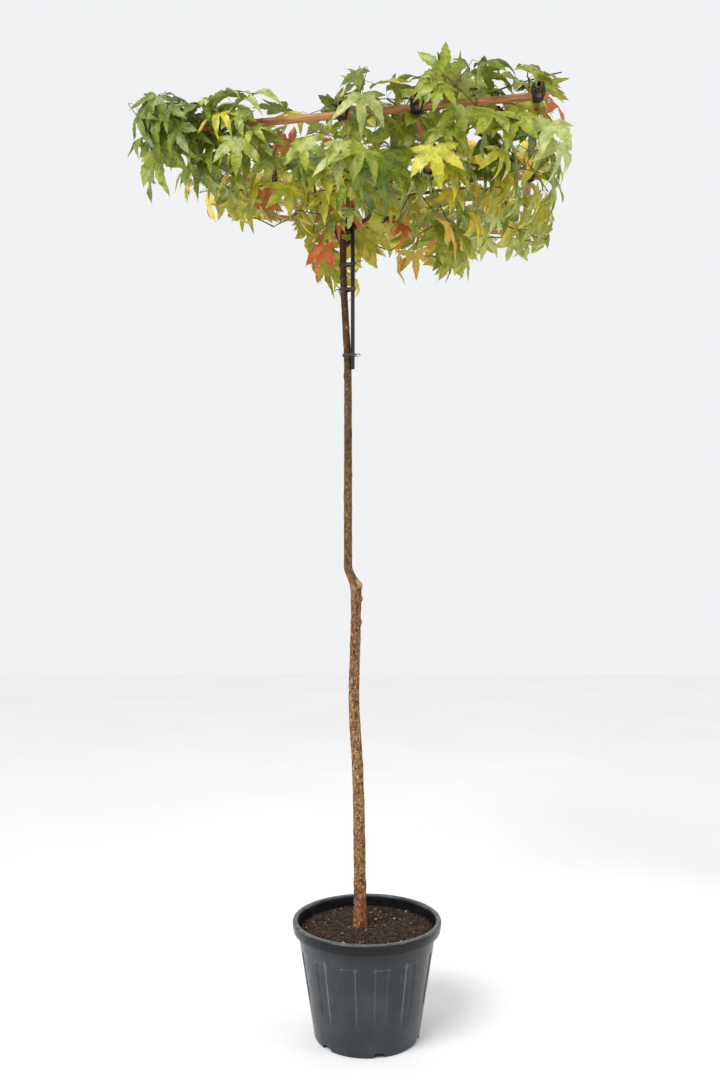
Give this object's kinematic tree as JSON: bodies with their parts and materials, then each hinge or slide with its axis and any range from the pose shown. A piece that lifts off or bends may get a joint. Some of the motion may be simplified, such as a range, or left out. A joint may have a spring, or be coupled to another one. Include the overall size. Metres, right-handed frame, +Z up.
{
  "type": "roof-trained sweetgum tree in a nursery pot",
  "caption": "Potted sweetgum with a clear trunk and a flat, roof-trained crown of star-shaped leaves spread over a level bamboo frame.",
  "frame": {"origin": "middle of the pot's flat underside, where the plant stands", "axes": "+Z up along the trunk, +Y away from the front, +X to the right"},
  "size_m": [1.3388, 1.3692, 2.8637],
  "materials": {
    "pot_plastic": "satin, dusty, with scuffs",
    "potting_soil": "crumbly potting soil with pale specks",
    "bark": "rough ochre and brown bark",
    "foliage": "soft satin leaves, green turning yellow and red",
    "bamboo": "smooth bamboo cane",
    "rod": "black coated rod",
    "ties": "black flexible plant tie"
  },
  "bodies": {
    "root": {"bough_back_centre": "bark", "bough_back_left": "bark", "bough_back_right": "bark", "bough_front_centre": "bark", "bough_front_left": "bark", "bough_front_right": "bark", "bough_middle_left": "bark", "bough_middle_mid_right": "bark", "bough_middle_right": "bark", "cane_back": "bamboo", "cane_cross_1": "bamboo", "cane_cross_2": "bamboo", "cane_cross_3": "bamboo", "cane_cross_4": "bamboo", "cane_cross_5": "bamboo", "cane_front": "bamboo", "cane_middle": "bamboo", "cane_tie_back_1": "ties", "cane_tie_back_2": "ties", "cane_tie_back_3": "ties", "cane_tie_back_4": "ties", "cane_tie_back_5": "ties", "cane_tie_front_1": "ties", "cane_tie_front_2": "ties", "cane_tie_front_3": "ties", "cane_tie_front_4": "ties", "cane_tie_front_5": "ties", "cane_tie_middle_1": "ties", "cane_tie_middle_2": "ties", "cane_tie_middle_3": "ties", "cane_tie_middle_4": "ties", "cane_tie_middle_5": "ties", "foliage_back_centre": "foliage", "foliage_back_left": "foliage", "foliage_back_right": "foliage", "foliage_front_centre": "foliage", "foliage_front_left": "foliage", "foliage_front_right": "foliage", "foliage_middle_left": "foliage", "foliage_middle_mid_left": "foliage", "foliage_middle_mid_right": "foliage", "foliage_middle_right": "foliage", "pot": "pot_plastic", "rod": "rod", "rod_tie_1": "ties", "rod_tie_2": "ties", "rod_tie_3": "ties", "soil": "potting_soil", "trunk": "bark"}
  },
  "joints": []
}
